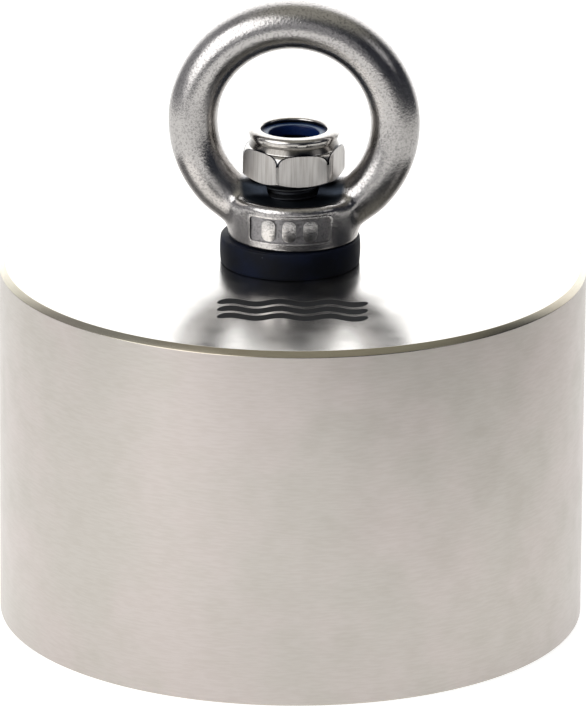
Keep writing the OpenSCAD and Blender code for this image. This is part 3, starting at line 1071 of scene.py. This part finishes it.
@dataclass
class EyeNut:
    """The cast eye nut: a dished hub with a framed front, melted into the ring."""

    body: str = "eye"
    voxel: float = 0.27
    ring_outer: float = 25.0
    wire: float = 4.9
    hub: float = 13.0
    hub_height: float = 9.1
    foot_edge: float = 0.4
    lip: float = 1.3
    lip_end: float = 110.0
    dish_wall: float = 1.0
    dish: float = 0.4
    bore: float = 6.05
    # The hub's and the bore's flat ends close inside this radius.
    middle: float = 0.3
    # Creases melt within this distance of both surfaces, but not in the hub's lowest stretch.
    melt: float = 5.0
    melt_from: float = 0.8
    melt_rounds: int = 220
    frame_width: float = 17.2
    frame_height: float = 6.1
    frame_middle: float = 4.5
    frame_line: float = 0.55
    frame_corner: float = 1.3
    proud: float = 0.35
    relief_sunk: float = 0.5
    relief_edge: float = 0.2
    pip_pitch: float = 4.17
    pip_size: tuple[float, float] = (2.8, 4.4)
    pip_corner: float = 0.48
    # The web's width, its thickness, and its lowest and highest point over the hub's base.
    web: tuple[float, float, float, float] = (20.6, 6.4, 2.0, 11.7)

    def build(self) -> None:
        """Builds and dresses the eye nut."""
        _, base, top = span("eye_nut")
        centre = top - self.ring_outer
        eye = self.ring(centre, base)
        combine(eye, self.hub_solid(base), "UNION")
        combine(eye, self.web_block(base), "UNION")
        modify(eye, "REMESH", mode="VOXEL", voxel_size=self.voxel * MM, use_smooth_shade=True)
        self.melt_joints(eye, centre, base)
        low, high = base - 1, base + self.hub_height + 4
        outline = [(self.middle, low), (self.bore, low), (self.bore, high), (self.middle, high)]
        hole = turned("bore", outline, 96, ring=False)
        combine(eye, hole, "DIFFERENCE")
        combine(eye, self.front_relief(base), "UNION")
        eye.name = eye.data.name = "eye"
        dress(eye, FinishName.EYE)
        smooth(eye, 40)
        hand_over(eye, self.body, "eye_steel", "eye_nut")

    def ring(self, centre: float, base: float) -> bpy.types.Object:
        """Makes the ring, cut off level with the hub's base.

        Args:
            centre: Height of the ring's centre.
            base: Height of the hub's base.

        Returns:
            The ring.
        """
        deselect()
        bpy.ops.mesh.primitive_torus_add(major_radius=(self.ring_outer - self.wire) * MM,
                                         minor_radius=self.wire * MM, major_segments=192, minor_segments=64,
                                         rotation=(math.pi / 2, 0, 0), location=(0, 0, centre * MM))
        ring = bpy.context.object
        bpy.ops.object.transform_apply(location=True, rotation=True, scale=True)
        bpy.ops.object.mode_set(mode="EDIT")
        bpy.ops.mesh.select_all(action="SELECT")
        bpy.ops.mesh.bisect(plane_co=(0, 0, base * MM), plane_no=(0, 0, 1), clear_inner=True, use_fill=True)
        bpy.ops.object.mode_set(mode="OBJECT")
        return ring

    def hub_solid(self, base: float) -> bpy.types.Object:
        """Turns the hub with its lip and its shallow dish.

        Args:
            base: Height of the hub's base.

        Returns:
            The hub, with no bore yet.
        """
        top = base + self.hub_height
        lip_centre = (self.hub - self.lip, top - self.lip)
        floor = top - self.dish
        profile = ([(self.middle, base), (self.hub - self.foot_edge, base), (self.hub, base + self.foot_edge)]
                   + arc(lip_centre, self.lip, 0, self.lip_end, 8)
                   + [(self.hub - self.lip - self.dish_wall, floor), (self.middle, floor)])
        return turned("hub", profile, 128, ring=False)

    def web_block(self, base: float) -> bpy.types.Object:
        """Makes the web that fills the foot of the ring's opening.

        Args:
            base: Height of the hub's base.

        Returns:
            The web, as a block whose edges melt later.
        """
        width, thickness, low, high = self.web
        deselect()
        bpy.ops.mesh.primitive_cube_add(size=1, location=(0, 0, (base + (low + high) / 2) * MM),
                                        scale=(width * MM, thickness * MM, (high - low) * MM))
        bpy.ops.object.transform_apply(location=True, rotation=True, scale=True)
        return bpy.context.object

    def melt_joints(self, eye: bpy.types.Object, centre: float, base: float) -> None:
        """Rounds the creases where the ring meets the hub, as in a casting.

        Args:
            eye: The ring and hub in one mesh.
            centre: Height of the ring's centre.
            base: Height of the hub's base.
        """
        group = eye.vertex_groups.new(name="joint")
        top = base + self.hub_height
        for vertex in eye.data.vertices:
            x, y, z = (c / MM for c in vertex.co)
            off_wire = math.hypot(math.hypot(x, z - centre) - self.ring_outer + self.wire, y)
            from_ring = abs(off_wire - self.wire)
            beside, above = math.hypot(x, y) - self.hub, z - top
            outside = max(beside, above) > 0
            from_hub = math.hypot(max(beside, 0), max(above, 0)) if outside else -max(beside, above)
            nearness = 1 - max(from_ring, from_hub) / self.melt
            if nearness > 0 and z > base + self.melt_from:
                group.add([vertex.index], min(1.0, 2 * nearness), "REPLACE")
        modify(eye, "SMOOTH", factor=0.5, iterations=self.melt_rounds, vertex_group="joint")

    def rounded_block(self, width: float, height: float, corner: float, middle: float) -> bpy.types.Object:
        """Makes a block with round corners that reaches well through the hub's front.

        Args:
            width: Its size along X.
            height: Its size along Z.
            corner: Radius of its corners, seen from the front.
            middle: Height of its middle.

        Returns:
            The block.
        """
        deselect()
        bpy.ops.mesh.primitive_cube_add(size=1, location=(0, (1 - self.hub) * MM, middle * MM),
                                        scale=(width * MM, 6 * MM, height * MM))
        block = bpy.context.object
        bpy.ops.object.transform_apply(location=True, rotation=True, scale=True)
        bpy.ops.object.mode_set(mode="EDIT")
        bpy.ops.mesh.select_mode(type="EDGE")
        bpy.ops.mesh.select_all(action="DESELECT")
        bpy.ops.object.mode_set(mode="OBJECT")
        for edge in block.data.edges:
            first, second = (block.data.vertices[i].co for i in edge.vertices)
            edge.select = abs(first.y - second.y) > MM
        bpy.ops.object.mode_set(mode="EDIT")
        bpy.ops.mesh.bevel(offset=corner * MM, offset_type="OFFSET", segments=8)
        bpy.ops.object.mode_set(mode="OBJECT")
        return block

    def front_relief(self, base: float) -> bpy.types.Object:
        """Makes the raised frame and its three pips, rounded to the hub.

        Args:
            base: Height of the hub's base.

        Returns:
            The relief, sunk a little into the hub.
        """
        middle = base + self.frame_middle
        width, height, line = self.frame_width, self.frame_height, self.frame_line
        relief = self.rounded_block(width, height, self.frame_corner, middle)
        inner = self.rounded_block(width - 2 * line, height - 2 * line, self.frame_corner - line, middle)
        combine(relief, inner, "DIFFERENCE")
        pip = self.rounded_block(*self.pip_size, self.pip_size[0] * self.pip_corner, middle)
        for place in (-self.pip_pitch, 0.0, self.pip_pitch):
            copy = pip.copy()
            copy.data = pip.data.copy()
            copy.data.transform(Matrix.Translation((place * MM, 0, 0)))
            bpy.context.scene.collection.objects.link(copy)
            combine(relief, copy, "UNION")
        bpy.data.objects.remove(pip)
        low, high = base, base + self.hub_height
        inside, outside = self.hub - self.relief_sunk, self.hub + self.proud
        shell = turned("relief_shell", [(inside, low), (outside, low), (outside, high), (inside, high)], 256)
        combine(relief, shell, "INTERSECT")
        modify(relief, "BEVEL", width=self.relief_edge * MM, segments=3, limit_method="ANGLE",
               angle_limit=math.radians(40))
        return relief


@dataclass
class LockNut:
    """The lock nut: a hexagon whose corners slope up to a round crown, rolled in over the nylon ring."""

    body: str = "nut"
    segments: int = 192
    flats: float = 18.0
    first_flat: float = 45.0
    corner_radius: float = 10.28
    washer: float = 8.55
    lower_slope: float = math.tan(math.radians(30))
    # The corners round over from corner_top, at the corner, to flat_top, at the middle of the flats.
    corner_top: float = 4.6
    flat_top: float = 6.6
    corner_steps: int = 5
    shoulder: tuple[float, float] = (8.55, 7.7)
    neck: float = 8.45
    neck_edge: float = 0.1
    crown_foot: float = 8.35
    crown_foot_edge: tuple[float, float] = (0.12, 0.15)
    crown: float = 8.98
    roll: float = 0.95
    opening: float = 6.55
    lip: float = 0.9
    lip_edge: float = 0.4
    groove: float = 7.65
    groove_floor: float = 6.7
    bore: float = 6.05
    bore_chamfer: float = 0.8
    # The hexagon starts at this share of the shoulder's radius. A face that rises more than this is a slope.
    hexagon_from: float = 0.97
    slope_rise: float = 0.1

    def profile(self, base: float, top: float) -> Profile:
        """Gives the nut's outline before its flats are cut.

        Args:
            base: Height of its lower face.
            top: Height of its rolled lip.

        Returns:
            The outline, which closes on itself.
        """
        far, half = self.corner_radius, self.flats / 2
        steps = range(1, self.corner_steps + 1)
        angles = [math.radians(90 - 90 * step / self.corner_steps) for step in steps]
        rise = self.flat_top - self.corner_top
        foot_in, foot_down = self.crown_foot_edge
        return (
            [(self.bore + self.bore_chamfer, base), (self.washer, base),
             (far, base + (far - self.washer) * self.lower_slope),
             (far, base + self.corner_top)]
            + [(half + (far - half) * math.sin(a), base + self.corner_top + rise * math.cos(a))
               for a in angles]
            + [(self.shoulder[0], base + self.shoulder[1]),
               (self.neck, base + self.shoulder[1] + self.neck_edge),
               (self.neck, base + self.crown_foot - foot_down),
               (self.crown - foot_in, base + self.crown_foot)]
            + arc((self.crown - self.roll, top - self.roll), self.roll, 0, 90, 10)
            + arc((self.opening + self.lip_edge, top - self.lip_edge), self.lip_edge, 90, 180, 6)
            + [(self.opening, top - self.lip), (self.groove, top - self.lip),
               (self.groove, base + self.groove_floor), (self.bore, base + self.groove_floor),
               (self.bore, base + self.bore_chamfer)]
        )

    def build(self) -> None:
        """Builds and dresses the lock nut."""
        _, base, top = span("lock_nut")
        nut = turned("lock_nut_body", self.profile(base, top), self.segments)
        for side in range(6):
            angle = math.radians(self.first_flat + 60 * side)
            outward = (math.cos(angle), math.sin(angle), 0)
            bpy.ops.object.mode_set(mode="EDIT")
            bpy.ops.mesh.select_all(action="SELECT")
            bpy.ops.mesh.bisect(plane_co=tuple(c * self.flats / 2 * MM for c in outward), plane_no=outward,
                                clear_outer=True, use_fill=True)
            bpy.ops.object.mode_set(mode="OBJECT")
        finishes = (FinishName.NUT_CROWN, FinishName.NUT_FLATS, FinishName.NUT_SLOPES)
        _, flat, slope = range(len(finishes))
        dress(nut, *finishes)
        radius, height = self.shoulder
        for face in nut.data.polygons:
            outward = Vector((face.center.x, face.center.y))
            if outward.length > self.hexagon_from * radius * MM and face.center.z < (base + height) * MM:
                face.material_index = slope if face.normal.z > self.slope_rise else flat
        smooth(nut, 24)
        hand_over(nut, self.body, "nut_steel", "lock_nut")


@dataclass
class NylonRing:
    """The dyed nylon ring inside the crown."""

    body: str = "insert"
    segments: int = 128
    bore: float = 5.0
    edge: float = 0.3

    def build(self) -> None:
        """Builds and dresses the nylon ring."""
        radius, low, high = span("lock_nut_insert")
        profile = (arc((self.bore + self.edge, low + self.edge), self.edge, 180, 270, 4)
                   + [(radius, low), (radius, high)]
                   + arc((self.bore + self.edge, high - self.edge), self.edge, 90, 180, 4))
        ring = turned("nylon_ring", profile, self.segments)
        dress(ring, FinishName.NYLON)
        smooth(ring, 40)
        hand_over(ring, self.body, "insert_nylon", "lock_nut_insert")


# ---------------------------------------------------------------- studio


@dataclass(frozen=True)
class Panel:
    """A soft round light panel of the studio, seen from the object.

    Azimuth 0 is towards -Y and 90 towards +X. Its light is full within inner degrees of its middle and gone
    beyond outer degrees.
    """

    azimuth: float
    elevation: float
    inner: float
    outer: float
    level: tuple[float, float, float]

    def direction(self) -> tuple[float, float, float]:
        """Finds where the panel stands.

        Returns:
            The unit vector from the object to the panel's middle.
        """
        azimuth, elevation = math.radians(self.azimuth), math.radians(self.elevation)
        return (math.sin(azimuth) * math.cos(elevation), -math.cos(azimuth) * math.cos(elevation),
                math.sin(elevation))


@dataclass
class Studio:
    """The floor, the lights and the camera."""

    # The floor, in metres, glows like paper lit from behind, and less so to the right.
    floor_radius: float = 0.62
    floor_drop: float = 0.00002
    floor_tone: str = "#bdbdbb"
    floor_glow: tuple[float, float] = (0.8, 0.42)
    floor_fade: tuple[float, float] = (0.02, 0.38)
    room: str = "#3d4048"
    # Overhead, low in front, left, the bright sweep behind, the big one at the front left, a small one right.
    panels: tuple[Panel, ...] = (
        Panel(0, 90, 15, 60, (0.45, 0.44, 0.39)),
        Panel(-4, 6, 8, 30, (0.42, 0.42, 0.44)),
        Panel(-100, 10, 20, 75, (0.42, 0.42, 0.44)),
        Panel(180, 14, 14, 62, (2.2, 2.2, 2.2)),
        Panel(-45, 27, 19, 34, (3.0, 3.0, 3.0)),
        Panel(70, 30, 6, 14, (0.7, 0.7, 0.72)),
    )

    camera_place: tuple[float, float, float] = (0.105124, -1.765314, 0.64232)
    azimuth: float = 3.4
    elevation: float = 18.422
    roll: float = 0.446
    lens: float = 473.9

    def camera(self) -> None:
        """Sets up the camera, level with a slight lean."""
        data = bpy.data.cameras.new("camera")
        data.sensor_width = 36.0
        data.lens = self.lens
        data.clip_start, data.clip_end = 0.1, 50.0
        camera = bpy.data.objects.new("camera", data)
        bpy.context.scene.collection.objects.link(camera)
        turn = (Matrix.Rotation(math.radians(self.azimuth), 3, "Z")
                @ Matrix.Rotation(math.radians(90 - self.elevation), 3, "X")
                @ Matrix.Rotation(math.radians(self.roll), 3, "Z"))
        camera.rotation_euler = turn.to_euler()
        camera.location = self.camera_place
        bpy.context.scene.camera = camera

    def floor(self) -> None:
        """Lays a plain pale floor under the object."""
        deselect()
        bpy.ops.mesh.primitive_circle_add(vertices=128, radius=self.floor_radius, fill_type="NGON",
                                          location=(0, 0, -self.floor_drop))
        floor = bpy.context.object
        floor.name = "floor"
        material = bpy.data.materials.new("pale_floor")
        material.use_nodes = True
        tree = material.node_tree
        tree.nodes.clear()
        part = add(tree, "SeparateXYZ", links={0: add(tree, "TexCoord").outputs["Object"]})
        glow = add(tree, "MapRange", smoothly(*self.floor_fade, *self.floor_glow), {0: part.outputs["X"]})
        shader = add(tree, "BsdfPrincipled", {"Base Color": srgb(self.floor_tone), "Roughness": 0.9,
                                              "Emission Color": srgb("#ffffff")},
                     {"Emission Strength": glow.outputs[0]})
        add(tree, "OutputMaterial", links={"Surface": shader.outputs[0]})
        floor.data.materials.append(material)

    def world(self) -> None:
        """Surrounds the object with a dim room, a white sweep behind it and soft panels."""
        world = bpy.data.worlds.new("studio_room")
        world.use_nodes = True
        tree = world.node_tree
        tree.nodes.clear()
        direction = add(tree, "TexCoord").outputs["Generated"]
        light = srgb(self.room)
        colour = None
        for panel in self.panels:
            spread = add(tree, "VectorMath", {"operation": "DOT_PRODUCT", 1: panel.direction()},
                         {0: direction})
            edges = smoothly(math.cos(math.radians(panel.outer)), math.cos(math.radians(panel.inner)))
            shape = add(tree, "MapRange", edges, {0: spread.outputs["Value"]})
            mix = add(tree, "Mix", BLEND | {FIRST: light, SECOND: (*panel.level, 1.0)}, {0: shape.outputs[0]})
            if colour is not None:
                tree.links.new(colour, mix.inputs[FIRST])
            colour = mix.outputs[MIXED]
        seen = add(tree, "LightPath").outputs["Is Camera Ray"]
        final = add(tree, "Mix", BLEND | {SECOND: srgb("#ffffff")}, {0: seen, FIRST: colour})
        back = add(tree, "Background", {"Strength": 1.0}, {"Color": final.outputs[MIXED]})
        add(tree, "OutputWorld", links={"Surface": back.outputs[0]})
        bpy.context.scene.world = world

    def build(self) -> None:
        """Builds the studio."""
        self.camera()
        self.floor()
        self.world()
        bpy.context.scene.view_settings.view_transform = "Standard"


def main() -> None:
    """Builds the studio and every piece."""
    logging.basicConfig(level=logging.INFO, format="%(message)s")
    for part in (Studio(), Drum(), Spacer(), Bolt(), EyeNut(), LockNut(), NylonRing()):
        part.build()


if __name__ == "__main__":
    main()
